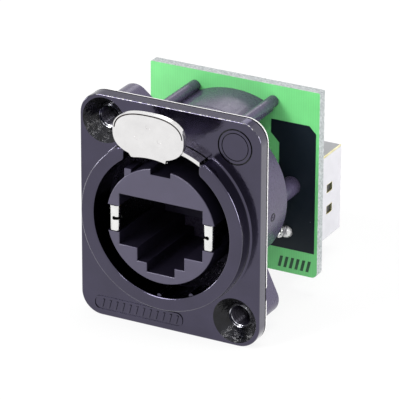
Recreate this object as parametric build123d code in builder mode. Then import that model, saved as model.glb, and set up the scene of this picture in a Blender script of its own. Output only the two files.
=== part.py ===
"""Ethernet feedthrough socket: a die-cast panel flange with a push tab, and a socket at each end.

Millimetres. +X is right seen from the front, +Y points to the back and +Z is up. The origin lies
on the round body's axis, in the plane where the flange's gasket meets the panel.
"""
from build123d import *

import math
import os

os.makedirs("parts", exist_ok=True)

# Flange plate and its gasket
flange_width = 26.0
flange_height = 31.0
flange_corner = 3.0
flange_edge_chamfer = 0.3
plate_thickness = 1.92
gasket_thickness = 0.32
gasket_inset = 0.05
gasket_clearance = 0.15
screw_margin = 3.5
screw_hole_radius = 1.6
countersink_radius = 3.1
seat_clearance = 0.05

# Collar round the front opening
collar_height = 2.4
collar_outer = 11.65
collar_chamfer = 0.25
collar_gap_width = 10.8
collar_end_round = 0.7
collar_rib_radius = 0.35
collar_first_rib_angle = -92.0
collar_rib_spacing = 28.0
plug_sleeve_bore = 9.8

# Round body behind the flange
drum_radius = 10.5
drum_depth = 10.4
drum_seat_depth = 1.18
drum_edge_chamfer = 0.8
drum_floor = 2.0
shoulder_margin = 1.2
shoulder_depth = 1.6
arch_outer = 11.95
arch_inner = 9.0
arch_half_angle = 25.4
crown_half_angle = 38.0
crown_depth = 8.6
lobe_radius = 2.15
lobe_root_radius = 5.7
lobe_depth = 6.1
lobe_thread_radius = 1.25
post_radius = 0.8
post_x = 5.75
post_z = 11.35
post_root_reach = 1.27
post_peg_radius = 0.5
post_peg_proud = 0.3
stud_radius = 1.3
stud_x = 8.6

# Front moulding with the plug opening
insert_radius = 7.9
insert_edge_chamfer = 0.2
insert_lug_left = -5.3
insert_lug_width = 1.0
insert_lug_top = 7.1
insert_lug_setback = 0.1
insert_lug_depth = 3.0
keyway_width = 2.9
keyway_floor = 7.0
spring_slot_inner = 6.0
spring_slot_bottom = -1.95
spring_slot_top = 1.7
spring_slot_depth = 9.6

# Plug opening, the same at both ends: a body, a step and a latch channel below it
plug_width = 12.0
plug_top = 3.4
plug_bottom = -3.6
plug_step_width = 6.8
plug_step_bottom = -5.4
plug_latch_width = 4.0
plug_latch_bottom = -6.65

# Contacts
contact_count = 8
contact_pitch = 1.02
contact_width = 0.4
contact_thickness = 0.3
contact_height = 2.9
contact_bend_radius = 0.35
bend_steps = 3
contact_reach = 1.1
contact_slope_length = 8.4
contact_slope_drop = 2.6
contact_row_drop = 2.54
contact_drop_run = 1.6
contact_drop_start = 0.3
contact_tail_proud = 0.9
front_carrier_depth = 3.6
front_carrier_overlap = 0.8
rear_carrier_depth = 2.0
rear_carrier_standoff = 2.6

# Ground springs beside the plug opening
ground_spring_thickness = 0.28
ground_spring_inner = 6.12
ground_spring_outer = 7.45
ground_spring_bottom = -1.85
ground_spring_top = 1.6
ground_spring_tail = 2.6
ground_spring_notch_width = 0.5
ground_spring_notch_reach = 1.0

# Circuit board
board_front = 15.57
board_thickness = 1.5
board_width = 24.9
board_top = 13.6
board_bottom = -12.66
board_corner = 0.8
pin_hole_radius = 0.4
small_round_sides = 8
solder_radius = 0.5
solder_tip_radius = 0.3
solder_height = 0.5

# Coated copper area on the board's front
ground_thickness = 0.06
ground_left = 5.47
ground_step_x = 6.7
ground_right = 12.0
ground_top = 8.8
ground_bottom = -9.2
ground_chamfer = 1.0
ground_step_top = 6.9
ground_clearance = 0.2

# Rear socket with its folded shield
rear_axis_z = -5.1
shield_width = 16.0
shield_top = -0.2
shield_bottom = -12.6
shield_depth = 14.63
shield_wall = 0.25
shield_fold_radius = 0.4
shield_clearance = 0.05
shield_rim = 0.3
shield_leg_width = 1.2
shield_leg_z = -6.5
shield_leg_proud = 0.75
shield_joint_radius = 1.0
shield_joint_tip_radius = 0.7
shield_joint_height = 0.65
window_front = 27.4
window_back = 29.1
window_height = 1.25
window_centres_z = (-5.2, -8.3)

# Push tab with its slide and latch tooth
tab_front = -7.9
tab_thickness = 0.9
tab_half_width = 5.0
tab_half_height = 3.0
tab_overhang = 1.15
tab_edge_chamfer = 0.18
tongue_width = 4.6
slide_inner = 10.55
slide_thickness = 0.5
slide_front = -4.0
slide_half_width = 5.25
slide_length = 8.4
slide_ear_half_width = 6.0
slide_clearance = 0.1
slide_side_clearance = 0.15
slide_stop_clearance = 0.05
tab_travel = 1.8
tooth_width = 2.4
tooth_length = 1.8
tooth_depth = 1.2
tooth_start = 0.2

# Spring behind the slide
spring_end = 8.0
spring_wire = 0.25
spring_half_width = 1.7
spring_runs = 4
spring_bend_radius = 0.3

# Worked-out places
shoulder_radius = flange_width / 2 - shoulder_margin
gasket_spare_angle = math.degrees(gasket_clearance / arch_outer)
tab_centre_z = flange_height / 2 + tab_overhang - tab_half_height
flange_back = -gasket_thickness
flange_front = flange_back - plate_thickness
collar_front = flange_front - collar_height
drum_front = flange_back - drum_seat_depth
floor_front = drum_depth - drum_floor
board_back = board_front + board_thickness
shield_back = board_back + shield_depth
housing_back = shield_back - shield_wall - shield_clearance
slide_outer = slide_inner + slide_thickness
tunnel_inner = slide_inner - slide_clearance
tunnel_outer = slide_outer + slide_clearance
window_half_width = slide_half_width + slide_side_clearance
slide_back = slide_front + slide_length
ear_front = flange_back + slide_stop_clearance
window_inner = plug_sleeve_bore - collar_rib_radius
tooth_slot_end = tooth_start + tooth_length + tab_travel + slide_side_clearance
screw_x = flange_width / 2 - screw_margin
screw_z = flange_height / 2 - screw_margin
screw_places = [(-screw_x, screw_z), (screw_x, -screw_z)]
post_places = [(-post_x, post_z), (post_x, post_z)]
stud_places = [(-stud_x, 0), (stud_x, 0)]
sides = {"left": -1, "right": 1}


def across(depth):
    """The plane across the axis at a depth, seen from the front: local x is +X and local y is +Z."""
    return Plane.XZ.offset(-depth)


def band(inner, outer, half_width):
    """Adds the top part of a ring between two radii, cut off at both sides by upright lines."""
    Circle(outer)
    Circle(inner, mode=Mode.SUBTRACT)
    with Locations((0, outer)):
        Rectangle(2 * half_width, outer, mode=Mode.INTERSECT)


def sector(inner, outer, half_angle):
    """Adds the part of a ring between two radii that lies within an angle of the top."""
    Circle(outer)
    Circle(inner, mode=Mode.SUBTRACT)
    reach = Vector(0, 2 * outer)
    Polygon((0, 0), reach.rotate(Axis.Z, half_angle), reach.rotate(Axis.Z, -half_angle),
            align=None, mode=Mode.INTERSECT)


def box_between(left, right, bottom, top):
    """Adds a rectangle given by its four sides."""
    with Locations(((left + right) / 2, (bottom + top) / 2)):
        Rectangle(right - left, top - bottom)


def lobe_outline(place, spare):
    """Adds the outline of a screw lobe with its sides down to the drum, grown by a spare width."""
    with Locations(place):
        Circle(lobe_radius + spare)
    Circle(lobe_root_radius + spare)
    make_hull()


def post_outline(place, spare):
    """Adds the outline of a post with its foot on the round body, grown by a spare width."""
    foot = Vector(place) - Vector(place).normalized() * post_root_reach
    with Locations(place, foot):
        Circle(post_radius + spare)
    make_hull()


def plug_outline(axis_z):
    """Adds the outline of a plug opening whose axis is at the given height."""
    box_between(-plug_width / 2, plug_width / 2, axis_z + plug_bottom, axis_z + plug_top)
    box_between(-plug_step_width / 2, plug_step_width / 2, axis_z + plug_step_bottom, axis_z)
    box_between(-plug_latch_width / 2, plug_latch_width / 2, axis_z + plug_latch_bottom, axis_z)


def strip(points, width, radius):
    """Adds the side view of a bent strip: each corner of its centre line is rounded by a few steps."""
    corners = [Vector(point) for point in points]
    centre = [corners[0]]
    for before, corner, after in zip(corners, corners[1:], corners[2:]):
        ahead = (corner - before).normalized()
        turned = (after - corner).normalized()
        turn = math.radians(ahead.get_angle(turned))
        inward = (turned - ahead * ahead.dot(turned)).normalized()
        start = corner - ahead * radius * math.tan(turn / 2)
        for step in range(bend_steps + 1):
            angle = turn * step / bend_steps
            centre.append(start + inward * radius * (1 - math.cos(angle)) + ahead * radius * math.sin(angle))
    centre.append(corners[-1])
    normals = [(b - a).normalized().rotate(Axis.Z, 90) for a, b in zip(centre, centre[1:])]
    upper, lower = [], []
    for point, left, right in zip(centre, normals[:1] + normals, normals + normals[-1:]):
        reach = (left + right) * (width / 2 / (1 + left.dot(right)))
        upper.append(point + reach)
        lower.append(point - reach)
    Polygon(*upper, *reversed(lower), align=None)


def contact_x(index):
    """The sideways place of one of the eight contacts."""
    return (index - (contact_count - 1) / 2) * contact_pitch


def contact_tail_z(index, axis_z):
    """The height of a contact's tail: every second one steps down to the lower row."""
    return axis_z + contact_height - contact_row_drop * (index % 2)


def tail_places(axis_z):
    """Where the eight tails of one socket pass the board."""
    return [(contact_x(i), contact_tail_z(i, axis_z)) for i in range(contact_count)]


def contact_route(index, axis_z, mouth, root, tail_end):
    """The centre line of a contact, as (y, z) points from its tail to its free end."""
    inward = 1 if tail_end > mouth else -1
    wire_z = axis_z + contact_height
    bend_y = mouth + inward * contact_reach
    route = [(tail_end, contact_tail_z(index, axis_z))]
    if index % 2:
        drop_y = root + inward * contact_drop_start
        route.append((drop_y + inward * contact_drop_run, contact_tail_z(index, axis_z)))
        route.append((drop_y, wire_z))
    route.append((bend_y, wire_z))
    route.append((bend_y + inward * contact_slope_length, wire_z - contact_slope_drop))
    return route


# Flange: a rounded plate with a collar, cast as one piece
with BuildPart() as flange_shell:
    with BuildSketch(across(flange_front)):
        RectangleRounded(flange_width, flange_height, flange_corner)
    extrude(amount=-plate_thickness)
    front_outline = flange_shell.faces().sort_by(Axis.Y)[0].edges()
    chamfer(front_outline, flange_edge_chamfer)
    with BuildSketch(across(collar_front)):
        Circle(collar_outer)
    extrude(amount=-collar_height)
    # Bore for the plug's sleeve, and the gap in the collar for the tab's neck, with rounded ends
    with BuildSketch(across(collar_front)):
        Circle(plug_sleeve_bore)
    extrude(amount=collar_front - flange_back, mode=Mode.SUBTRACT)
    with BuildSketch(across(collar_front)):
        band(window_inner, collar_outer + collar_chamfer, collar_gap_width / 2)
    extrude(amount=-collar_height, mode=Mode.SUBTRACT)
    lengthwise = flange_shell.edges().filter_by(Axis.Y)
    collar_edges = lengthwise.filter_by_position(Axis.Y, collar_front, flange_front)
    collar_ends = collar_edges.filter_by_position(Axis.Z, plug_sleeve_bore / 2, collar_outer)
    fillet(collar_ends, collar_end_round)
    collar_rim = flange_shell.faces().sort_by(Axis.Y)[0].edges()
    chamfer(collar_rim, collar_chamfer)
    # Two small ribs low in the bore, the seat of the round body and the window for the tab's slide
    with BuildSketch(across(collar_front + collar_chamfer)):
        with PolarLocations(plug_sleeve_bore, 2, collar_first_rib_angle, collar_rib_spacing, endpoint=True):
            Circle(collar_rib_radius)
    extrude(amount=collar_front + collar_chamfer - drum_front)
    with BuildSketch(across(drum_front)):
        Circle(drum_radius + seat_clearance)
    extrude(amount=-drum_seat_depth, mode=Mode.SUBTRACT)
    with BuildSketch(across(flange_front)):
        band(window_inner, tunnel_outer, window_half_width)
    extrude(amount=-plate_thickness, mode=Mode.SUBTRACT)
    with Locations(across(flange_front).location):
        with Locations(*screw_places):
            CounterSinkHole(screw_hole_radius, countersink_radius, counter_sink_angle=90)
flange_shell.part.label = "flange_shell"
export_step(flange_shell.part, "parts/flange_shell.step")

# Gasket on the flange's back
with BuildPart() as flange_gasket:
    with BuildSketch(across(flange_back)):
        RectangleRounded(flange_width - 2 * gasket_inset, flange_height - 2 * gasket_inset,
                         flange_corner - gasket_inset)
    extrude(amount=-gasket_thickness)
    # Room for the round body, the screw lobes and the posts, so that a flat panel can lie on it
    with BuildSketch(across(flange_back)):
        Circle(shoulder_radius + gasket_clearance)
    extrude(amount=-gasket_thickness, mode=Mode.SUBTRACT)
    with BuildSketch(across(flange_back)):
        sector(arch_inner, arch_outer + gasket_clearance, crown_half_angle + gasket_spare_angle)
    extrude(amount=-gasket_thickness, mode=Mode.SUBTRACT)
    for place in screw_places:
        with BuildSketch(across(flange_back)):
            lobe_outline(place, gasket_clearance)
        extrude(amount=-gasket_thickness, mode=Mode.SUBTRACT)
    for place in post_places:
        with BuildSketch(across(flange_back)):
            post_outline(place, gasket_clearance)
        extrude(amount=-gasket_thickness, mode=Mode.SUBTRACT)
flange_gasket.part.label = "flange_gasket"
export_step(flange_gasket.part, "parts/flange_gasket.step")

# Round body: an open drum with its shoulder, crown over the slide, screw lobes and posts
with BuildPart() as rear_body:
    with BuildSketch(across(drum_front)):
        Circle(drum_radius)
    extrude(amount=drum_front - floor_front)
    with BuildSketch(across(flange_back)):
        Circle(shoulder_radius)
    extrude(amount=-shoulder_depth)
    with BuildSketch(across(flange_back)):
        sector(arch_inner, arch_outer, crown_half_angle)
    extrude(amount=-crown_depth)
    for place in screw_places:
        with BuildSketch(across(flange_back)):
            lobe_outline(place, 0)
        extrude(amount=flange_back - lobe_depth)
    for place in post_places:
        with BuildSketch(across(flange_back)):
            post_outline(place, 0)
        extrude(amount=-crown_depth)
    with BuildSketch(across(flange_back)):
        with Locations(*post_places):
            Circle(post_radius)
    extrude(amount=flange_back - board_front)
    with BuildSketch(across(board_front)):
        with Locations(*post_places):
            Circle(post_peg_radius)
    extrude(amount=-board_thickness - post_peg_proud)
    # Bore for the plug's sleeve, and threaded holes in the lobes
    with BuildSketch(across(drum_front)):
        Circle(plug_sleeve_bore)
    extrude(amount=drum_front - floor_front, mode=Mode.SUBTRACT)
    with BuildSketch(across(flange_back)):
        with Locations(*screw_places):
            Circle(lobe_thread_radius)
    extrude(amount=flange_back - lobe_depth, mode=Mode.SUBTRACT)
    # Tunnel of the tab's slide, and the slot that its tooth reaches through
    with BuildSketch(across(drum_front)):
        band(tunnel_inner, tunnel_outer, slide_ear_half_width + slide_side_clearance)
    extrude(amount=drum_front - spring_end, mode=Mode.SUBTRACT)
    with BuildSketch(across(drum_front)):
        band(window_inner, tunnel_outer, tooth_width / 2 + slide_side_clearance)
    extrude(amount=drum_front - tooth_slot_end, mode=Mode.SUBTRACT)
rear_body.part.label = "rear_body"
export_step(rear_body.part, "parts/rear_body.step")

# Back of the round body: a disc with the contacts' window, the arch to the board and two studs
with BuildPart() as body_back:
    with BuildSketch(across(floor_front)):
        Circle(drum_radius)
    extrude(amount=-drum_floor)
    back_edge = body_back.faces().sort_by(Axis.Y)[-1].edges()
    chamfer(back_edge, drum_edge_chamfer)
    with BuildSketch(across(floor_front)):
        sector(arch_inner, arch_outer, arch_half_angle)
    extrude(amount=floor_front - board_front)
    with BuildSketch(across(floor_front)):
        with Locations(*stud_places):
            Circle(stud_radius)
    extrude(amount=floor_front - board_front)
    with BuildSketch(across(floor_front)):
        box_between(-plug_width / 2, plug_width / 2, plug_bottom, plug_top)
    extrude(amount=-drum_floor, mode=Mode.SUBTRACT)
body_back.part.label = "body_back"
export_step(body_back.part, "parts/body_back.step")

# Front moulding: a round block with the plug opening, a keyway and slots for the ground springs
with BuildPart() as front_insert:
    with BuildSketch(across(collar_front)):
        Circle(insert_radius)
    extrude(amount=collar_front - floor_front)
    insert_rim = front_insert.faces().sort_by(Axis.Y)[0].edges()
    chamfer(insert_rim, insert_edge_chamfer)
    # Small lug high on the left
    with BuildSketch(across(collar_front + insert_lug_setback)):
        box_between(insert_lug_left, insert_lug_left + insert_lug_width, insert_radius / 2, insert_lug_top)
    extrude(amount=-insert_lug_depth)
    with BuildSketch(across(collar_front)):
        plug_outline(0)
        box_between(-keyway_width / 2, keyway_width / 2, keyway_floor, 2 * insert_radius)
    extrude(amount=collar_front - floor_front, mode=Mode.SUBTRACT)
    with BuildSketch(across(collar_front)):
        for side in sides.values():
            near, far = sorted((side * spring_slot_inner, side * 2 * insert_radius))
            box_between(near, far, spring_slot_bottom, spring_slot_top)
    extrude(amount=-spring_slot_depth, mode=Mode.SUBTRACT)
front_insert.part.label = "front_insert"
export_step(front_insert.part, "parts/front_insert.step")

# Ground springs: a strip bent over the moulding's face, one leg inside and one outside
for name, side in sides.items():
    middle_z = (ground_spring_bottom + ground_spring_top) / 2
    height = ground_spring_top - ground_spring_bottom
    inner = ground_spring_inner + ground_spring_thickness / 2
    outer = ground_spring_outer - ground_spring_thickness / 2
    face_y = collar_front + ground_spring_thickness / 2
    with BuildPart() as ground_spring:
        with BuildSketch(Plane.XY.offset(middle_z)):
            strip([(side * inner, collar_front + spring_slot_depth), (side * inner, face_y),
                   (side * outer, face_y), (side * outer, collar_front + ground_spring_tail)],
                  ground_spring_thickness, ground_spring_thickness)
        extrude(amount=height / 2, both=True)
        with BuildSketch(Plane.XY.offset(middle_z)):
            with Locations((side * ground_spring_inner, collar_front)):
                Rectangle(ground_spring_notch_reach, 2 * ground_spring_notch_reach)
        extrude(amount=ground_spring_notch_width / 2, both=True, mode=Mode.SUBTRACT)
    ground_spring.part.label = f"ground_spring_{name}"
    export_step(ground_spring.part, f"parts/ground_spring_{name}.step")

# Contacts of both sockets: each a bent strip from its free end to its tail through the board
front_carrier_front = floor_front - front_carrier_overlap
front_carrier_back = front_carrier_front + front_carrier_depth
rear_carrier_back = board_back + rear_carrier_standoff
sockets = {
    "front": {"axis_z": 0.0, "mouth": collar_front, "root": front_carrier_back,
              "tail_end": board_back + contact_tail_proud},
    "rear": {"axis_z": rear_axis_z, "mouth": shield_back, "root": rear_carrier_back,
             "tail_end": board_front - contact_tail_proud},
}
for name, socket in sockets.items():
    for index in range(contact_count):
        with BuildPart() as contact:
            with BuildSketch(Plane.YZ.offset(contact_x(index))):
                strip(contact_route(index, **socket), contact_thickness, contact_bend_radius)
            extrude(amount=contact_width / 2, both=True)
        contact.part.label = f"{name}_contact_{index + 1}"
        export_step(contact.part, f"parts/{name}_contact_{index + 1}.step")

# Carriers: blocks that close the plug openings' inner ends and hold the contacts
carriers = {
    "front": (0.0, front_carrier_front, front_carrier_depth),
    "rear": (rear_axis_z, rear_carrier_back, rear_carrier_depth),
}
for name, (axis_z, start, depth) in carriers.items():
    with BuildPart() as carrier:
        with BuildSketch(across(start)):
            box_between(-plug_width / 2 + seat_clearance, plug_width / 2 - seat_clearance,
                        axis_z + plug_bottom + seat_clearance, axis_z + plug_top - seat_clearance)
            with Locations(*[(contact_x(i), axis_z + contact_height) for i in range(contact_count)]):
                Rectangle(contact_width, contact_thickness, mode=Mode.SUBTRACT)
        extrude(amount=-depth)
    carrier.part.label = f"{name}_contact_carrier"
    export_step(carrier.part, f"parts/{name}_contact_carrier.step")

# Circuit board with holes for the tails, the posts' pegs and the shield's legs
leg_x = shield_width / 2 - shield_wall / 2
leg_places = [(-leg_x, shield_leg_z), (leg_x, shield_leg_z)]
with BuildPart() as circuit_board:
    with BuildSketch(across(board_front)):
        with Locations((0, (board_top + board_bottom) / 2)):
            RectangleRounded(board_width, board_top - board_bottom, board_corner)
        with Locations(*tail_places(0), *tail_places(rear_axis_z)):
            RegularPolygon(pin_hole_radius, small_round_sides, mode=Mode.SUBTRACT)
        with Locations(*post_places):
            Circle(post_peg_radius + seat_clearance, mode=Mode.SUBTRACT)
        with Locations(*leg_places):
            Rectangle(shield_wall + 2 * seat_clearance, shield_leg_width + 2 * seat_clearance,
                      mode=Mode.SUBTRACT)
    extrude(amount=-board_thickness)
circuit_board.part.label = "circuit_board"
export_step(circuit_board.part, "parts/circuit_board.step")

# Coated copper area on the board's front, open round the stud and the shield's joint
with BuildPart() as board_ground_area:
    with BuildSketch(across(board_front)):
        with BuildLine():
            Polyline((ground_left, ground_top), (ground_right - ground_chamfer, ground_top),
                     (ground_right, ground_top - ground_chamfer), (ground_right, ground_bottom),
                     (ground_step_x, ground_bottom),
                     (ground_step_x, ground_step_top - ground_step_x + ground_left),
                     (ground_left, ground_step_top), close=True)
        make_face()
        with Locations(stud_places[1]):
            Circle(stud_radius + ground_clearance, mode=Mode.SUBTRACT)
        with Locations(leg_places[1]):
            Circle(shield_joint_radius + ground_clearance, mode=Mode.SUBTRACT)
    extrude(amount=ground_thickness)
board_ground_area.part.label = "board_ground_area"
export_step(board_ground_area.part, "parts/board_ground_area.step")

# Solder joints: cones round the front socket's tails on the back, and the rest on the front
joints = {
    "front": (tail_places(0.0), board_back, -solder_height, solder_radius, solder_tip_radius,
              contact_width, contact_thickness),
    "rear": (tail_places(rear_axis_z), board_front, solder_height, solder_radius, solder_tip_radius,
             contact_width, contact_thickness),
    "shield": (leg_places, board_front, shield_joint_height, shield_joint_radius, shield_joint_tip_radius,
               shield_wall, shield_leg_width),
}
for name, (places, face, height, foot, tip, hole_width, hole_height) in joints.items():
    with BuildPart() as solder:
        for place in places:
            with BuildSketch(across(face)):
                with Locations(place):
                    RegularPolygon(foot, small_round_sides)
            with BuildSketch(across(face - height)):
                with Locations(place):
                    RegularPolygon(tip, small_round_sides)
            loft()
        with BuildSketch(across(face)):
            with Locations(*places):
                Rectangle(hole_width, hole_height)
        extrude(amount=height, mode=Mode.SUBTRACT)
    solder.part.label = f"{name}_solder_joints"
    export_step(solder.part, f"parts/{name}_solder_joints.step")

# Rear socket's housing: a block with the plug opening right through it
housing_gap = shield_wall + shield_clearance
with BuildPart() as rear_jack_housing:
    with BuildSketch(across(board_back)):
        box_between(-shield_width / 2 + housing_gap, shield_width / 2 - housing_gap,
                    shield_bottom + housing_gap, shield_top - housing_gap)
    extrude(amount=board_back - housing_back)
    with BuildSketch(across(board_back)):
        plug_outline(rear_axis_z)
    extrude(amount=board_back - housing_back, mode=Mode.SUBTRACT)
rear_jack_housing.part.label = "rear_jack_housing"
export_step(rear_jack_housing.part, "parts/rear_jack_housing.step")

# Rear socket's shield: one folded sheet, open to the board, with side windows and two legs
shield_middle_z = (shield_top + shield_bottom) / 2
shield_height = shield_top - shield_bottom
with BuildPart() as rear_jack_shield:
    with BuildSketch(across(board_back)):
        with Locations((0, shield_middle_z)):
            RectangleRounded(shield_width, shield_height, shield_fold_radius)
    extrude(amount=-shield_depth)
    with BuildSketch(across(board_back)):
        with Locations((0, shield_middle_z)):
            RectangleRounded(shield_width - 2 * shield_wall, shield_height - 2 * shield_wall,
                             shield_fold_radius - shield_wall)
    extrude(amount=shield_wall - shield_depth, mode=Mode.SUBTRACT)
    with BuildSketch(across(shield_back - shield_wall)):
        plug_outline(rear_axis_z)
        offset(amount=shield_rim, kind=Kind.INTERSECTION)
    extrude(amount=-shield_wall, mode=Mode.SUBTRACT)
    with BuildSketch(Plane.YZ):
        for centre_z in window_centres_z:
            box_between(window_front, window_back, centre_z - window_height / 2, centre_z + window_height / 2)
    extrude(amount=shield_width, both=True, mode=Mode.SUBTRACT)
    with BuildSketch(across(board_back)):
        with Locations(*leg_places):
            Rectangle(shield_wall, shield_leg_width)
    extrude(amount=board_thickness + shield_leg_proud)
rear_jack_shield.part.label = "rear_jack_shield"
export_step(rear_jack_shield.part, "parts/rear_jack_shield.step")

# Push tab: an oval face, a neck, and a curved slide with ears and the latch tooth below it
slide_core = slide_inner - slide_thickness
tooth_root = slide_thickness / 2
with BuildPart() as push_tab:
    with BuildSketch(across(tab_front)):
        with Locations((0, tab_centre_z)):
            Ellipse(tab_half_width, tab_half_height)
        box_between(-tongue_width / 2, tongue_width / 2, slide_core, tab_centre_z)
    extrude(amount=-tab_thickness)
    with BuildSketch(across(tab_front + tab_thickness)):
        band(slide_core, slide_outer, tongue_width / 2)
    extrude(amount=tab_front + tab_thickness - slide_front)
    with BuildSketch(across(slide_front)):
        band(slide_core, slide_outer, slide_half_width)
    extrude(amount=-slide_length)
    with BuildSketch(across(ear_front)):
        band(slide_core, slide_outer, slide_ear_half_width)
    extrude(amount=ear_front - slide_back)
    with BuildSketch(across(tab_front)):
        Circle(slide_inner)
    extrude(amount=tab_front - slide_back, mode=Mode.SUBTRACT)
    face_outline = push_tab.faces().sort_by(Axis.Y)[0].edges()
    chamfer(face_outline, tab_edge_chamfer)
    with BuildSketch(Plane.YZ):
        with BuildLine():
            Polyline((tooth_start - tooth_root, slide_inner + tooth_root),
                     (tooth_start + tooth_depth, slide_inner - tooth_depth),
                     (tooth_start + tooth_length, slide_inner - tooth_depth),
                     (tooth_start + tooth_length, slide_inner + tooth_root), close=True)
        make_face()
    extrude(amount=tooth_width / 2, both=True)
push_tab.part.label = "push_tab"
export_step(push_tab.part, "parts/push_tab.step")

# Spring: a flat wire that runs to and fro between the slide and the end of its tunnel
first_run = slide_back + slide_stop_clearance + spring_wire / 2
last_run = spring_end - spring_wire / 2
spring_pitch = (last_run - first_run) / (spring_runs - 1)
spring_route = []
for run in range(spring_runs):
    run_y = first_run + run * spring_pitch
    start_x = spring_half_width * (-1) ** run
    spring_route += [(start_x, run_y), (-start_x, run_y)]
with BuildPart() as latch_spring:
    with BuildSketch(Plane.XY.offset(slide_inner)):
        strip(spring_route, spring_wire, spring_bend_radius)
    extrude(amount=spring_wire)
latch_spring.part.label = "latch_spring"
export_step(latch_spring.part, "parts/latch_spring.step")
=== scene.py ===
"""Ethernet feedthrough socket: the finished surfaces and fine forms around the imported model.

Lengths are millimetres in the sizes below and in every mesh until it is finished, and metres from
then on. +X is right seen from the front, +Y points to the back and +Z is up.
"""

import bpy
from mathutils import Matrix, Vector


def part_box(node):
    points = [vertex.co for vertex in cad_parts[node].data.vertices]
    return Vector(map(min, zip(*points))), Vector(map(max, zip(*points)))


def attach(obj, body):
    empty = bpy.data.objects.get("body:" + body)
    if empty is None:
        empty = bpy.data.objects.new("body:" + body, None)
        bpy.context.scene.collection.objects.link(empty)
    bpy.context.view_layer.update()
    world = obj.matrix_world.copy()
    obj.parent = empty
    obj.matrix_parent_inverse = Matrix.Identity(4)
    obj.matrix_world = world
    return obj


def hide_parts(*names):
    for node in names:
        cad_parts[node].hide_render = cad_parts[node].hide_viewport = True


bl_info = {
    "name": "Ethernet feedthrough socket",
    "version": (1, 0, 0),
    "blender": (4, 5, 0),
    "location": "3D View > Sidebar > Socket",
    "description": "Builds the socket's flange, tab, round body, board and rear socket",
    "category": "Add Mesh",
}

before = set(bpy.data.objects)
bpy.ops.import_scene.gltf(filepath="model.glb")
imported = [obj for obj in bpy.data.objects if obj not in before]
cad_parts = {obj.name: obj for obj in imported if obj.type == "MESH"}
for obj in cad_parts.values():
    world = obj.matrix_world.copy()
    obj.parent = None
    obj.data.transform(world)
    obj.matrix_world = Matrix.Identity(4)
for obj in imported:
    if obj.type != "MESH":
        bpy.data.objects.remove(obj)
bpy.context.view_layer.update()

import math

import bmesh
import bpy
from bpy.props import FloatProperty, FloatVectorProperty, PointerProperty
from bpy.types import Operator, Panel, PropertyGroup
from mathutils import Matrix, Vector

MM = 0.001
BODY = "socket"
TAB = "tab"


def low(node):
    """A CAD node's lowest corner in millimetres."""
    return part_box(node)[0] / MM


def high(node):
    """A CAD node's highest corner in millimetres."""
    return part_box(node)[1] / MM


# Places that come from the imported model
FLANGE_HALF_WIDTH = high("flange_shell").x
FLANGE_HALF_HEIGHT = high("flange_shell").z
COLLAR_FRONT = low("flange_shell").y
PLATE_BACK = low("flange_gasket").y
BOARD_FRONT = low("circuit_board").y
BOARD_BACK = high("circuit_board").y
SHIELD_BACK = high("rear_jack_shield").y
FLOOR_FRONT = low("body_back").y
TAB_FRONT = low("push_tab").y
SLIDE_BACK = high("push_tab").y
INSERT_RADIUS = high("front_insert").x

# Places and sizes that several pieces share
SCREW_PLACES = ((-9.5, 12.0), (9.5, -12.0))
POST_PLACES = ((-5.75, 11.35), (5.75, 11.35))
SLIDE_INNER, SLIDE_OUTER = 10.55, 11.05
TUNNEL_OUTER = 11.15
PLUG_HALF_WIDTH, STEP_HALF_WIDTH, LATCH_HALF_WIDTH = 6.0, 3.4, 2.0
PLUG_TOP, PLUG_BOTTOM, STEP_BOTTOM, LATCH_BOTTOM = 3.4, -3.6, -5.4, -6.65

# How far a cutter reaches past a face, and how far apart faces stay that would lie in one plane
BEYOND = 1.0
HAIR = 0.01


class SocketSizes(PropertyGroup):
    """Sizes of the fine forms, in millimetres."""

    plate_thickness: FloatProperty(
        name="Plate", description="Thickness of the flange plate", default=1.92, min=0.5)
    flange_corner: FloatProperty(
        name="Corner", description="Corner radius of the flange", default=3.0, min=0.5)
    plate_round: FloatProperty(
        name="Plate round", description="Rounding of the plate's front edge", default=0.2, min=0.05)
    casting_round: FloatProperty(
        name="Casting round", description="Rounding of the collar's rim", default=0.26, min=0.05)
    foot_round: FloatProperty(
        name="Foot round", description="Hollow round at the collar's foot", default=0.3, min=0.05)
    collar_radius: FloatProperty(
        name="Collar", description="Outer radius of the collar", default=11.65, min=5)
    bore_radius: FloatProperty(
        name="Bore", description="Inner radius of the collar", default=9.8, min=5)
    tab_half_width: FloatProperty(
        name="Tab width", description="Half the width of the tab's face", default=5.06, min=1)
    tab_half_height: FloatProperty(
        name="Tab height", description="Half the height of the tab's face", default=3.0, min=1)
    moulding_round: FloatProperty(
        name="Moulding round", description="Rounding of the front moulding's edges",
        default=0.18, min=0.02)
    sheet_wall: FloatProperty(
        name="Sheet", description="Wall of the folded shield", default=0.25, min=0.1)


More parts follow.
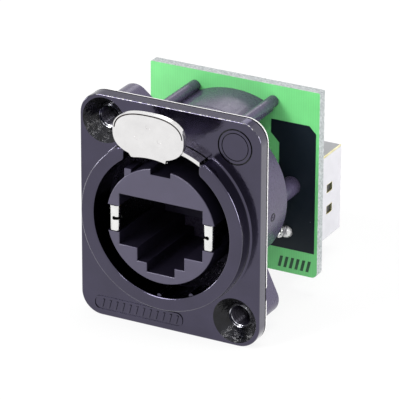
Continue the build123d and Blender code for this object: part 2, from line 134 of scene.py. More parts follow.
class SocketColours(PropertyGroup):
    """Colours of the finishes."""

    plating: FloatVectorProperty(
        name="Plating", description="Black plating of the flange", subtype="COLOR", size=3,
        default=(0.036, 0.030, 0.064), min=0, max=1)
    moulding: FloatVectorProperty(
        name="Moulding", description="Dark plastic of the plug opening", subtype="COLOR", size=3,
        default=(0.026, 0.022, 0.046), min=0, max=1)
    round_body: FloatVectorProperty(
        name="Round body", description="Dark plastic of the round body", subtype="COLOR", size=3,
        default=(0.055, 0.046, 0.084), min=0, max=1)
    nickel: FloatVectorProperty(
        name="Nickel", description="Bright tab", subtype="COLOR", size=3,
        default=(0.77, 0.76, 0.76), min=0, max=1)
    board: FloatVectorProperty(
        name="Board", description="Coating of the board", subtype="COLOR", size=3,
        default=(0.185, 0.69, 0.235), min=0, max=1)
    mask: FloatVectorProperty(
        name="Mask", description="Coating over the copper area", subtype="COLOR", size=3,
        default=(0.006, 0.011, 0.017), min=0, max=1)
    sheet: FloatVectorProperty(
        name="Shield", description="Tinned sheet", subtype="COLOR", size=3,
        default=(0.58, 0.57, 0.61), min=0, max=1)
    gold: FloatVectorProperty(
        name="Contacts", description="Gold plating", subtype="COLOR", size=3,
        default=(0.90, 0.66, 0.26), min=0, max=1)


# Outlines across the axis, as (x, z) points


def arc(radius, start, end, steps=24, centre=(0.0, 0.0)):
    """Points on an arc; angles in degrees, 0 to the right and 90 up."""
    angles = [math.radians(start + (end - start) * i / steps) for i in range(steps + 1)]
    return [(centre[0] + radius * math.cos(a), centre[1] + radius * math.sin(a)) for a in angles]


def circle(radius, centre=(0.0, 0.0), steps=96):
    """A full circle, without a doubled first point."""
    return arc(radius, 0, 360, steps, centre)[:-1]


def rectangle(left, right, bottom, top):
    """A plain rectangle given by its sides."""
    return [(left, bottom), (right, bottom), (right, top), (left, top)]


def side_rectangle(side, near, far, bottom, top):
    """A rectangle on the left side, -1, or the right side, 1, of the middle."""
    return rectangle(*sorted((side * near, side * far)), bottom, top)


def rounded_rectangle(left, right, bottom, top, radius, steps=12):
    """A rectangle with round corners."""
    return (arc(radius, -90, 0, steps, (right - radius, bottom + radius))
            + arc(radius, 0, 90, steps, (right - radius, top - radius))
            + arc(radius, 90, 180, steps, (left + radius, top - radius))
            + arc(radius, 180, 270, steps, (left + radius, bottom + radius)))


def slanted_bar(x, bottom, width, height, lean):
    """An upright bar whose top leans to the right."""
    top = bottom + height
    return [(x, bottom), (x + width, bottom), (x + width + lean, top), (x + lean, top)]


def band(inner, outer, half_width, steps=32):
    """The top part of a ring, cut off at both sides by upright lines."""
    far = math.degrees(math.asin(half_width / outer))
    near = math.degrees(math.asin(half_width / inner))
    return arc(outer, 90 - far, 90 + far, steps) + arc(inner, 90 + near, 90 - near, steps)


def sector(inner, outer, half_angle, steps=32):
    """The part of a ring within an angle of the top."""
    return (arc(outer, 90 - half_angle, 90 + half_angle, steps)
            + arc(inner, 90 + half_angle, 90 - half_angle, steps))


def plug_outline(axis_z=0.0, spare=0.0):
    """The plug opening: a body, a step and the latch channel below it."""
    half, step, latch = PLUG_HALF_WIDTH + spare, STEP_HALF_WIDTH + spare, LATCH_HALF_WIDTH + spare
    top, body = PLUG_TOP + spare, PLUG_BOTTOM - spare
    lower, bottom = STEP_BOTTOM - spare, LATCH_BOTTOM - spare
    left = [(-half, top), (-half, body), (-step, body), (-step, lower), (-latch, lower),
            (-latch, bottom)]
    right = [(-x, z) for x, z in reversed(left)]
    return [(x, z + axis_z) for x, z in left + right]


# Solids in millimetres


def from_bmesh(bm):
    """A new object in the scene that holds a bmesh's faces, all turned outwards."""
    bmesh.ops.remove_doubles(bm, verts=bm.verts, dist=1e-5)
    bmesh.ops.recalc_face_normals(bm, faces=bm.faces)
    mesh = bpy.data.meshes.new("form")
    bm.to_mesh(mesh)
    bm.free()
    form = bpy.data.objects.new("form", mesh)
    bpy.context.scene.collection.objects.link(form)
    return form


def lofted(rows):
    """A solid through outlines of equally many points, each with its depth."""
    bm = bmesh.new()
    rings = [[bm.verts.new((x, depth, z)) for x, z in outline] for outline, depth in rows]
    bm.faces.new(rings[0])
    bm.faces.new(reversed(rings[-1]))
    count = len(rings[0])
    for near, far in zip(rings, rings[1:]):
        for i in range(count):
            bm.faces.new((near[i], far[i], far[(i + 1) % count], near[(i + 1) % count]))
    return from_bmesh(bm)


def prism(outline, front, back):
    """A straight block with this outline between two depths."""
    return lofted([(outline, front), (outline, back)])


def front_round(outline_at, front, radius, steps=5):
    """Rows for a rounded front edge; outline_at draws the outline in by a distance."""
    angles = [math.radians(90.0 * i / steps) for i in range(steps + 1)]
    return [(outline_at(radius * (1 - math.sin(a))), front + radius * (1 - math.cos(a)))
            for a in angles]


def turned(profile, centre=(0.0, 0.0), steps=96):
    """A solid turned about a line along the axis, from (radius, depth) points that start and end
    at radius 0, or that close into a ring."""
    bm = bmesh.new()
    solid = profile[0][0] == 0 and profile[-1][0] == 0
    rows = []
    for radius, depth in profile:
        outline = circle(radius, centre, steps) if radius else [centre]
        rows.append([bm.verts.new((x, depth, z)) for x, z in outline])
    for near, far in zip(rows, rows[1:] if solid else rows[1:] + rows[:1]):
        for i in range(steps):
            j = i + 1
            ring = [near[i % len(near)], far[i % len(far)], far[j % len(far)], near[j % len(near)]]
            face = list(dict.fromkeys(ring))
            if len(face) > 2:
                bm.faces.new(face)
    return from_bmesh(bm)


def bent_path(points, radius, steps=6):
    """A line through the points with round corners."""
    corners = [Vector(point) for point in points]
    path = [corners[0]]
    for before, corner, after in zip(corners, corners[1:], corners[2:]):
        ahead = (corner - before).normalized()
        turned_to = (after - corner).normalized()
        turn = ahead.angle(turned_to)
        inward = (turned_to - ahead * ahead.dot(turned_to)).normalized()
        start = corner - ahead * radius * math.tan(turn / 2)
        for step in range(steps + 1):
            angle = turn * step / steps
            path.append(start + inward * radius * (1 - math.cos(angle))
                        + ahead * radius * math.sin(angle))
    path.append(corners[-1])
    return path


def ribbon(path, across, width, thickness):
    """A strip of metal along a path, flat in the direction of across."""
    bm = bmesh.new()
    across = Vector(across).normalized()
    ahead = [(b - a).normalized() for a, b in zip(path, path[1:])]
    rows = []
    for point, back, front in zip(path, ahead[:1] + ahead, ahead + ahead[-1:]):
        mean = (back + front).normalized()
        lift = mean.cross(across) * (thickness / 2 / max(mean.dot(front), 0.3))
        side = across * width / 2
        rows.append([bm.verts.new(point + s * side + t * lift)
                     for s, t in ((-1, -1), (1, -1), (1, 1), (-1, 1))])
    for near, far in zip(rows, rows[1:]):
        for i in range(4):
            bm.faces.new((near[i], near[(i + 1) % 4], far[(i + 1) % 4], far[i]))
    bm.faces.new(reversed(rows[0]))
    bm.faces.new(rows[-1])
    return from_bmesh(bm)


def settled(form):
    """Applies a form's modifiers."""
    bpy.context.view_layer.update()
    depsgraph = bpy.context.evaluated_depsgraph_get()
    mesh = bpy.data.meshes.new_from_object(
        form.evaluated_get(depsgraph), preserve_all_data_layers=True, depsgraph=depsgraph)
    form.modifiers.clear()
    old = form.data
    form.data = mesh
    bpy.data.meshes.remove(old)
    return form


def discarded(form):
    """Takes a used-up form out of the scene."""
    mesh = form.data
    bpy.data.objects.remove(form)
    bpy.data.meshes.remove(mesh)


def combined(form, others, operation):
    """Adds other forms to a form, or takes them away from it."""
    for other in others:
        cut = form.modifiers.new("combine", "BOOLEAN")
        cut.operation = operation
        cut.solver = "EXACT"
        cut.object = other
        settled(form)
        discarded(other)
    return form


def united(form, *others):
    """One form made of several."""
    return combined(form, others, "UNION")


def carved(form, *cutters):
    """A form with others cut away."""
    return combined(form, cutters, "DIFFERENCE")


def holed(form, outline, front, back):
    """A form with a straight hole, cut from a little before one depth to a little past another."""
    return carved(form, prism(outline, front - BEYOND, back + BEYOND))


def gathered(*forms):
    """Separate forms in one object, with nothing cut."""
    first = forms[0]
    bm = bmesh.new()
    for form in forms:
        bm.from_mesh(form.data)
    bm.to_mesh(first.data)
    bm.free()
    for form in forms[1:]:
        discarded(form)
    return first


def rounded(form, width, steps=3, angle=32.0):
    """Rounds a form's sharp edges."""
    soften = form.modifiers.new("soften", "BEVEL")
    soften.width = width
    soften.segments = steps
    soften.limit_method = "ANGLE"
    soften.angle_limit = math.radians(angle)
    soften.use_clamp_overlap = True
    soften.miter_outer = "MITER_ARC"
    soften.harden_normals = False
    return settled(form)


def soft_block(outline, front, back, edge):
    """A straight block with finely rounded edges."""
    return rounded(prism(outline, front, back), edge, 2)


def finished(form, name, material, body=BODY, nodes=(), smooth_angle=38.0):
    """Turns a form into a piece of the object: metres, smooth faces, finish, body and the nodes
    it stands for."""
    form.name = name
    form.data.name = name
    form.data.transform(Matrix.Scale(MM, 4))
    for polygon in form.data.polygons:
        polygon.use_smooth = True
    form.data.set_sharp_from_angle(angle=math.radians(smooth_angle))
    weigh = form.modifiers.new("weigh", "WEIGHTED_NORMAL")
    weigh.keep_sharp = True
    weigh.weight = 80
    settled(form)
    form.data.name = name
    form.data.materials.clear()
    form.data.materials.append(material)
    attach(form, body)
    if nodes:
        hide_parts(*nodes)
    return form


def lined(form, material, picked):
    """Gives the faces that a test picks another finish; the test gets a face's centre in
    millimetres."""
    form.data.materials.append(material)
    for polygon in form.data.polygons:
        if picked(polygon.center / MM):
            polygon.material_index = len(form.data.materials) - 1


def refinished(node, material):
    """Gives a CAD node that stays in view its finish."""
    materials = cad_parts[node].data.materials
    materials.clear()
    materials.append(material)


# Finishes


def fed(tree, node, *values, **inputs):
    """A node whose inputs get plain values or other nodes' outputs, in their order or by name
    with an underscore for each space."""
    pairs = [(node.inputs[name.replace("_", " ")], value) for name, value in inputs.items()]
    for socket, value in [*zip(node.inputs, values), *pairs]:
        if isinstance(value, bpy.types.NodeSocket):
            tree.links.new(value, socket)
        else:
            socket.default_value = value
    return node


def worked(tree, operation, *values):
    """The result of a calculation with one or two values."""
    node = tree.nodes.new("ShaderNodeMath")
    node.operation = operation
    return fed(tree, node, *values).outputs["Value"]


class Finish:
    """A material under construction, with its main shader."""

    def __init__(self, name, **inputs):
        self.material = bpy.data.materials.new(name)
        self.material.use_nodes = True
        self.tree = self.material.node_tree
        self.shader = self.tree.nodes["Principled BSDF"]
        self.place = self.tree.nodes.new("ShaderNodeTexCoord").outputs["Object"]
        self.set(**inputs)

    def set(self, **inputs):
        """Sets or links inputs of the main shader."""
        fed(self.tree, self.shader, **inputs)
        return self

    def node(self, kind, *values, **inputs):
        """A new node in this material."""
        return fed(self.tree, self.tree.nodes.new(kind), *values, **inputs)

    def noise(self, scale, detail=3.0, stretch=(1.0, 1.0, 1.0)):
        """A noise pattern over the surface; scale is in spots per metre."""
        place = self.node("ShaderNodeMapping", Vector=self.place, Scale=stretch).outputs["Vector"]
        return self.node("ShaderNodeTexNoise", Vector=place, Scale=scale, Detail=detail,
                         Roughness=0.55).outputs["Fac"]

    def spread(self, source, first, last, start=0.3, end=0.7):
        """A value that goes from one to another while its source goes from start to end."""
        return self.node("ShaderNodeMapRange", source, start, end, first, last).outputs["Result"]

    def part(self, source, axis):
        """One coordinate of a direction or place."""
        return self.node("ShaderNodeSeparateXYZ", source).outputs[axis]

    def depth(self, near, far, first, last):
        """A value that goes from one to another between two depths in millimetres."""
        return self.spread(self.part(self.place, "Y"), first, last, near * MM, far * MM)

    def turn(self, axis):
        """How far the surface faces along an axis, from -1 to 1."""
        return self.part(self.node("ShaderNodeNewGeometry").outputs["True Normal"], axis)

    def facing(self, axis, first, last, start=0.8, end=0.95):
        """A value that goes from one to another as the surface turns along an axis."""
        return self.spread(self.turn(axis), first, last, start, end)

    def blend(self, factor, first, second):
        """A mix of two colours by a pattern."""
        node = self.node("ShaderNodeMix", factor)
        node.data_type = "RGBA"
        for socket, value in ((node.inputs[6], first), (node.inputs[7], second)):
            if isinstance(value, bpy.types.NodeSocket):
                self.tree.links.new(value, socket)
            else:
                socket.default_value = (*value, 1.0)
        return node.outputs[2]

    def mottled(self, scale, detail, tones, start=0.3, end=0.7):
        """A colour that changes between two tones in spots."""
        return self.blend(self.spread(self.noise(scale, detail), 0, 1, start, end), *tones)

    def gloss(self, scale, detail, least, most, stretch=(1.0, 1.0, 1.0)):
        """A roughness that changes in spots between two values."""
        return self.set(Roughness=self.spread(self.noise(scale, detail, stretch), least, most))

    def grain(self, scale, detail, height, strength, stretch=(1.0, 1.0, 1.0)):
        """Raises the surface in spots, over an earlier grain; height in metres."""
        before = {"Normal": link.from_socket for link in self.shader.inputs["Normal"].links}
        bump = self.node("ShaderNodeBump", Strength=strength, Distance=height,
                         Height=self.noise(scale, detail, stretch), **before)
        return self.set(Normal=bump.outputs["Normal"])

    def coat_follows(self):
        """Lets the clear coat follow the grain."""
        return self.set(Coat_Normal=self.shader.inputs["Normal"].links[0].from_socket)


def shade(colour, factor):
    """A colour made darker or lighter."""
    return tuple(min(1.0, c * factor) for c in colour)


def shades(colour, darker, lighter):
    """Two tones of a colour."""
    return shade(colour, darker), shade(colour, lighter)


def plain_finish(name, tones, spots, gloss, grain, **inputs):
    """A finish of two tones; spots, gloss and grain give the scale and detail of a pattern and
    then its range, its least and most roughness, or its height and strength."""
    f = Finish(name, **inputs)
    f.set(Base_Color=f.mottled(*spots[:2], tones, *spots[2:]))
    return f.gloss(*gloss).grain(*grain).material


def plating_finish(colours):
    """Black plating on cast metal: glossy, a little wavy, with fine pits; painted shade on top."""
    f = Finish("black_plating", Metallic=1.0, Coat_Roughness=0.1, Coat_IOR=1.5)
    # Painted shade: on upward faces the coat falls almost to nothing, so the top renders darker
    coat = worked(f.tree, "MULTIPLY", f.spread(f.noise(70, 2), 0.86, 1.0), f.facing("Z", 1, 0.03))
    f.set(Base_Color=f.mottled(260, 3, shades(colours.plating, 0.9, 1.1)), Coat_Weight=coat)
    f.gloss(1400, 4, 0.11, 0.21).grain(420, 2, 0.00003, 0.3).grain(2600, 3, 0.000018, 0.6)
    return f.coat_follows().material


def edge_wear_and_glint_finish(colours):
    """Front edge plating, a little brighter in spots on top: part wear, part painted highlight."""
    f = Finish("worn_and_glint_plating", Metallic=1.0, Coat_Weight=1.0, Coat_Roughness=0.1, Coat_IOR=1.5)
    # Painted highlight: the pale spots show only where the edge faces upwards
    spots = worked(f.tree, "MULTIPLY", f.spread(f.noise(3400, 2), 0, 1, 0.46, 0.58),
                   f.facing("Z", 0, 1, 0.2, 0.6))
    f.set(Base_Color=f.blend(spots, colours.plating, (0.17, 0.165, 0.17)))
    return f.gloss(2600, 3, 0.12, 0.22).grain(420, 2, 0.00003, 0.3).coat_follows().material


def recess_shade_finish():
    """The plating's grainy face in drilled and stamped places, darkened as painted shade."""
    f = Finish("recess_shade_plating", Metallic=1.0, Coat_Weight=0.6, Coat_Roughness=0.08, Coat_IOR=1.5)
    f.set(Base_Color=f.mottled(900, 4, ((0.002, 0.002, 0.003), (0.010, 0.010, 0.014))))
    return f.gloss(2600, 4, 0.2, 0.36).grain(2400, 3, 0.00007, 0.9).coat_follows().material


def seam_shadow_finish():
    """Painted shadow: a dark line at the plate's back edge, where it meets the gasket."""
    return plain_finish("painted_seam_shadow", ((0.003, 0.003, 0.004), (0.012, 0.011, 0.014)), (1200, 3),
                        (2600, 3, 0.7, 0.9), (4200, 2, 0.000006, 0.5), Metallic=0.0, IOR=1.1)


def lip_glint_finish():
    """Painted highlight: bright metal in spots on the rims at the mouths of the screw holes."""
    return plain_finish("lip_glint", ((0.02, 0.02, 0.03), (0.55, 0.55, 0.6)), (900, 3, 0.4, 0.6),
                        (3000, 3, 0.12, 0.26), (3800, 2, 0.000006, 0.5), Metallic=1.0)


def moulding_finish(name, colour, least=0.38, most=0.5, index=1.5):
    """Dark moulded plastic with a fine even grain."""
    return plain_finish(name, shades(colour, 0.92, 1.08), (700, 3), (2600, 3, least, most),
                        (5200, 2, 0.000002, 0.4), Metallic=0.0, IOR=index,
                        Specular_Tint=(0.86, 0.82, 1.0, 1.0))


def nickel_finish(colours):
    """Bright plated tab with a faint brushed haze."""
    return plain_finish("bright_nickel", shades(colours.nickel, 0.96, 1.04), (500, 3),
                        (1800, 4, 0.14, 0.26, (1, 1, 6)), (2400, 3, 0.000006, 0.5), Metallic=1.0)


def groove_shade_finish():
    """Painted shade: the tab's plating made dark where it lies in the rim's groove."""
    return plain_finish("groove_shade_nickel", ((0.02, 0.018, 0.018), (0.08, 0.06, 0.06)), (700, 3),
                        (2600, 3, 0.25, 0.4), (4200, 2, 0.000006, 0.5), Metallic=1.0)


def spring_finish():
    """Bright spring strip, painted dark as shade where it goes into the moulding."""
    f = Finish("spring_metal", Metallic=1.0)
    bright = f.mottled(900, 3, ((0.76, 0.76, 0.75), (0.86, 0.86, 0.85)))
    # Painted shade: the colour turns nearly black a little behind the front face
    shown = f.depth(COLLAR_FRONT + 0.3, COLLAR_FRONT + 0.7, 1, 0)
    f.set(Base_Color=f.blend(shown, (0.02, 0.02, 0.02), bright))
    return f.gloss(3000, 4, 0.2, 0.34).grain(4200, 2, 0.000001, 0.3).material


def board_finish(colours):
    """Green coating on glass laminate, with the weave faintly seen and pale rough edges."""
    base = colours.board
    f = Finish("green_board", Metallic=0.0, IOR=1.5)
    weave = f.node("ShaderNodeTexWave", f.place, Scale=900).outputs["Fac"]
    coat = f.blend(f.spread(weave, 0.0, 0.18, 0.2, 0.8), f.mottled(180, 3, shades(base, 0.9, 1.08)),
                   shade(base, 1.25))
    edge = f.mottled(3800, 3, ((0.20, 0.23, 0.23), (0.44, 0.46, 0.47)), 0.35, 0.65)
    flat = f.spread(worked(f.tree, "ABSOLUTE", f.turn("Y")), 0, 1, 0.4, 0.6)
    f.set(Base_Color=f.blend(flat, edge, coat))
    return f.gloss(2200, 3, 0.28, 0.42).grain(2600, 3, 0.00001, 0.4).material


def mask_finish(colours):
    """Dark glossy coating over copper, with a few pale specks of dust in it."""
    f = Finish("dark_mask", Metallic=0.0, IOR=1.35)
    cells = f.node("ShaderNodeTexVoronoi", f.place, Scale=1150).outputs["Distance"]
    specks = worked(f.tree, "MULTIPLY", f.spread(cells, 1, 0, 0.05, 0.09),
                    f.spread(f.noise(520, 2), 0, 1, 0.56, 0.6))
    f.set(Base_Color=f.blend(specks, colours.mask, (0.16, 0.18, 0.2)))
    return f.gloss(1500, 3, 0.3, 0.45).grain(1900, 3, 0.000012, 0.5).material


def sheet_finish(colours):
    """Tinned steel sheet: pale, satin, faintly brushed along the axis; painted shade on top."""
    f = Finish("tinned_sheet", Metallic=0.25)
    plain = f.mottled(420, 3, shades(colours.sheet, 0.95, 1.05))
    # Painted shade: upward faces get the colour at half brightness
    f.set(Base_Color=f.blend(f.facing("Z", 1, 0), shade(colours.sheet, 0.5), plain))
    f.gloss(1500, 4, 0.3, 0.44, (4, 1, 4)).grain(2600, 3, 0.000004, 0.5, (3, 1, 3))
    return f.material


def cut_edge_finish():
    """Brass that shows where the sheet was cut."""
    return plain_finish("cut_edge", ((0.60, 0.54, 0.28), (0.86, 0.82, 0.58)), (1200, 3),
                        (3000, 3, 0.25, 0.4), (5200, 2, 0.000004, 0.5), Metallic=1.0)


def solder_finish():
    """Bright solder with soft flow lines."""
    return plain_finish("solder", ((0.62, 0.62, 0.63), (0.88, 0.88, 0.88)), (2400, 3),
                        (3600, 3, 0.24, 0.4), (1500, 3, 0.00003, 0.5), Metallic=0.7)


def gold_finish(colours):
    """Gold plated contact wire."""
    return plain_finish("gold_contact", shades(colours.gold, 0.92, 1.06), (1500, 3),
                        (4000, 3, 0.2, 0.32), (6000, 2, 0.000003, 0.5), Metallic=1.0)


def gasket_finish():
    """Thin pale sheet."""
    return plain_finish("pale_gasket", ((0.70, 0.69, 0.69), (0.80, 0.79, 0.79)), (1300, 3),
                        (2600, 3, 0.45, 0.6), (5200, 3, 0.00001, 0.5), Metallic=0.0, IOR=1.45)


def ink_finish():
    """Dark printed marks on the board."""
    return plain_finish("board_ink", ((0.006, 0.05, 0.02), (0.012, 0.08, 0.03)), (2600, 3),
                        (3000, 3, 0.35, 0.5), (5000, 2, 0.000004, 0.5), Metallic=0.0, IOR=1.5)


# Operators, one for each piece or group of like pieces


class SOCKET_OT_flange(Operator):
    """Builds the cast flange with its collar, countersunk holes, plain ring and hatched frame"""

    bl_idname = "socket.flange"
    bl_label = "Flange"

    collar_gap, gap_floor = 5.4, 9.3
    end_round, buried_end_round = 0.7, 0.1
    collar_seat, collar_root = 0.6, 0.03
    screw_hole, countersink = 1.6, 3.1
    rib_angles, rib_radius, rib_start, rib_end = (-92.0, -64.0), 0.35, 0.3, 1.2
    seam_width, seam_reach = 0.24, 12.3
    recess_spare, ring_spare = 0.02, 0.2
    ring_place, ring_lines, ring_depth = (9.36, 12.0), ((2.35, 0.1), (1.85, 0.06)), 0.2
    lips, lip_profile = ((1.52, -0.72), (1.5, -0.3)), ((-0.09, 0), (0, -0.07), (0.07, 0), (0, 0.09))
    hatch_sides, hatch_corner, hatch_wall = (-11.1, 2.0, -14.75, -12.75), 0.9, 0.18
    hatch_height, hatch_root, hatch_edge, hatch_face = 0.14, 0.2, 0.04, 0.03
    bar_count, bar_width, bar_lean, bar_start, bar_spare, bar_inset = 12, 0.3, 0.3, 1.0, 2.2, 0.4

    def collar_outline(self, sizes, inset=0.0, foot=0.0, end_round=None):
        """A ring open at the top, with rounded ends; inset draws it in, foot widens it outwards."""
        r = (self.end_round if end_round is None else end_round) - inset
        outer, bore = sizes.collar_radius - inset + foot, sizes.bore_radius + inset
        x = self.collar_gap + inset + r
        outer_angle = math.degrees(math.asin(x / (outer - r)))
        inner_angle = math.degrees(math.asin(x / (bore + r)))
        outer_z, inner_z = math.sqrt((outer - r) ** 2 - x ** 2), math.sqrt((bore + r) ** 2 - x ** 2)
        return (arc(outer, 90 + outer_angle, 450 - outer_angle, 128)
                + arc(r, 90 - outer_angle, 180, 8, (x, outer_z))
                + arc(r, 180, 270 - inner_angle, 8, (x, inner_z))
                + arc(bore, 450 - inner_angle, 90 + inner_angle, 128)
                + arc(r, -90 + inner_angle, 0, 8, (-x, inner_z))
                + arc(r, 0, 90 + outer_angle, 8, (-x, outer_z)))

    def collar(self, sizes, front):
        """The collar with a rounded rim and a hollow foot, down to the plate's back."""
        foot, root = sizes.foot_round, front + self.collar_root
        rows = front_round(lambda inset: self.collar_outline(sizes, inset), COLLAR_FRONT,
                           sizes.casting_round)
        for step in range(6):
            angle = math.radians(18.0 * step)
            rows.append((self.collar_outline(sizes, foot=foot * (1 - math.cos(angle))),
                         front - foot + foot * math.sin(angle)))
        plain = self.collar_outline(sizes, end_round=self.buried_end_round)
        return lofted(rows + [(self.collar_outline(sizes, foot=foot), root), (plain, root + HAIR),
                              (plain, PLATE_BACK - HAIR)])

    def plate(self, sizes, front):
        """The plate with a rounded front edge, a row for its seam line and room for the collar."""
        w, h, corner = FLANGE_HALF_WIDTH, FLANGE_HALF_HEIGHT, sizes.flange_corner

        def outline(inset):
            return rounded_rectangle(inset - w, w - inset, inset - h, h - inset, corner - inset)

        form = lofted(front_round(outline, front, sizes.plate_round)
                      + [(outline(0), PLATE_BACK - self.seam_width), (outline(0), PLATE_BACK)])
        return holed(form, circle(sizes.bore_radius + self.collar_seat, steps=120), front,
                     PLATE_BACK)

    def cutters(self, front):
        """The countersunk holes and the ring's fine grooves."""
        depth, wide = self.countersink - self.screw_hole, self.countersink + BEYOND
        for place in SCREW_PLACES:
            yield turned([(0, front - BEYOND), (wide, front - BEYOND),
                          (self.screw_hole, front + depth), (self.screw_hole, PLATE_BACK + BEYOND),
                          (0, PLATE_BACK + BEYOND)], place)
        near, far = front - self.ring_depth, front + self.ring_depth
        for radius, half in self.ring_lines:
            yield turned([(radius - half, near), (radius + half, near), (radius + half, far),
                          (radius - half, far)], self.ring_place, 64)

    def ribs(self, sizes):
        """Slim round ribs inside the collar."""
        for angle in self.rib_angles:
            place = (sizes.bore_radius * math.cos(math.radians(angle)),
                     sizes.bore_radius * math.sin(math.radians(angle)))
            yield soft_block(circle(self.rib_radius, place, 20), COLLAR_FRONT + self.rib_start,
                             PLATE_BACK - self.rib_end, 0.1)

    def glint_lips(self):
        """Thin raised beads round the screw holes."""
        for place in SCREW_PLACES:
            for radius, depth in self.lips:
                yield turned([(radius + out, depth + back) for out, back in self.lip_profile],
                             place, 64)

    def execute(self, context):
        sizes, colours = context.scene.socket_sizes, context.scene.socket_colours
        front = PLATE_BACK - sizes.plate_thickness
        form = united(self.plate(sizes, front), self.collar(sizes, front))
        form = holed(form, band(self.gap_floor, TUNNEL_OUTER, self.collar_gap), front, PLATE_BACK)
        form = gathered(carved(form, *self.cutters(front)), *self.ribs(sizes))
        plating, recess_shade = plating_finish(colours), recess_shade_finish()
        finished(form, "cast_flange", plating, nodes=("flange_shell",))
        # Painted shade in the countersinks and in the plain ring's grooves
        lined(form, recess_shade, lambda point: self.in_recess(point, front))
        # Painted shadow along the plate's back edge
        lined(form, seam_shadow_finish(), lambda point: self.on_seam(point, front))
        # Part wear, part painted highlight along the top of the front edge
        lined(form, edge_wear_and_glint_finish(colours), lambda point: self.on_edge(point, sizes, front))
        # Painted highlight on the beads round the screw holes
        finished(gathered(*self.glint_lips()), "hole_lips", lip_glint_finish())
        self.frame_and_hatch(front, plating, recess_shade)
        return {"FINISHED"}

    def in_recess(self, point, front):
        """Whether a face lies in a screw hole or in the plain ring's grooves."""
        if point.y < front + self.recess_spare:
            return False
        from_screw = min(math.hypot(point.x - x, point.z - z) for x, z in SCREW_PLACES)
        from_ring = math.hypot(point.x - self.ring_place[0], point.z - self.ring_place[1])
        return (from_screw < self.countersink + self.recess_spare
                or from_ring < self.ring_lines[0][0] + self.ring_spare)

    def on_seam(self, point, front):
        """Whether a face lies along the plate's back edge."""
        return (PLATE_BACK - self.seam_width < point.y < PLATE_BACK - HAIR
                and math.hypot(point.x, point.z) > self.seam_reach
                and not self.in_recess(point, front))

    def on_edge(self, point, sizes, front):
        """Whether a face lies in the rounding of the plate's front edge."""
        across = abs(point.x) - (FLANGE_HALF_WIDTH - sizes.flange_corner)
        along = abs(point.z) - (FLANGE_HALF_HEIGHT - sizes.flange_corner)
        reach = math.hypot(max(across, 0), max(along, 0))
        return (front + HAIR < point.y < front + sizes.plate_round
                and reach > sizes.flange_corner - 1.5 * sizes.plate_round)

    def frame_and_hatch(self, front, plating, recess_shade):
        """A raised frame with plain slanted ribs low on the flange."""
        left, right, bottom, top = self.hatch_sides
        wall, corner, inset = self.hatch_wall, self.hatch_corner, self.bar_inset
        face, root = front - self.hatch_height, front + self.hatch_root
        inside = rounded_rectangle(left + wall, right - wall, bottom + wall, top - wall,
                                   corner - wall)
        border = prism(rounded_rectangle(left, right, bottom, top, corner), face, root)
        forms = [rounded(holed(border, inside, front, front), self.hatch_edge, 2)]
        for i in range(self.bar_count):
            x = left + self.bar_start + (right - left - self.bar_spare) * i / (self.bar_count - 1)
            bar = slanted_bar(x, bottom + inset, self.bar_width, top - bottom - 2 * inset,
                              self.bar_lean)
            forms.append(soft_block(bar, face, root, self.hatch_edge))
        form = finished(gathered(*forms), "flange_hatch", plating)
        # Painted shade on the hatch's sides and between its bars
        lined(form, recess_shade, lambda point: point.y > face + self.hatch_face)


class SOCKET_OT_gasket(Operator):
    """Builds the pale gasket sheet with its openings and its small notch"""

    bl_idname = "socket.gasket"
    bl_label = "Gasket"

    inset, opening = 0.05, 12.1
    lobe_room, way_room, way_place = 2.3, 4.2, 0.7
    post_room, edge_round = 0.95, 0.04
    notch_depth, notch_bottom, notch_top = 0.5, -9.3, -7.5

    def execute(self, context):
        sizes = context.scene.socket_sizes
        lo, hi = low("flange_gasket"), high("flange_gasket")
        outline = rounded_rectangle(lo.x, hi.x, lo.z, hi.z, sizes.flange_corner - self.inset)
        openings = [circle(self.opening, steps=144)]
        for place in SCREW_PLACES:
            way = (place[0] * self.way_place, place[1] * self.way_place)
            openings += [circle(self.lobe_room, place, 48), circle(self.way_room, way, 48)]
        openings += [circle(self.post_room, place, 32) for place in POST_PLACES]
        openings.append(rectangle(hi.x - self.notch_depth, hi.x + BEYOND, self.notch_bottom,
                                  self.notch_top))
        form = prism(outline, lo.y, hi.y)
        for opening in openings:
            form = holed(form, opening, lo.y, hi.y)
        finished(rounded(form, self.edge_round, 2), "gasket_sheet", gasket_finish(),
                 nodes=("flange_gasket",))
        return {"FINISHED"}


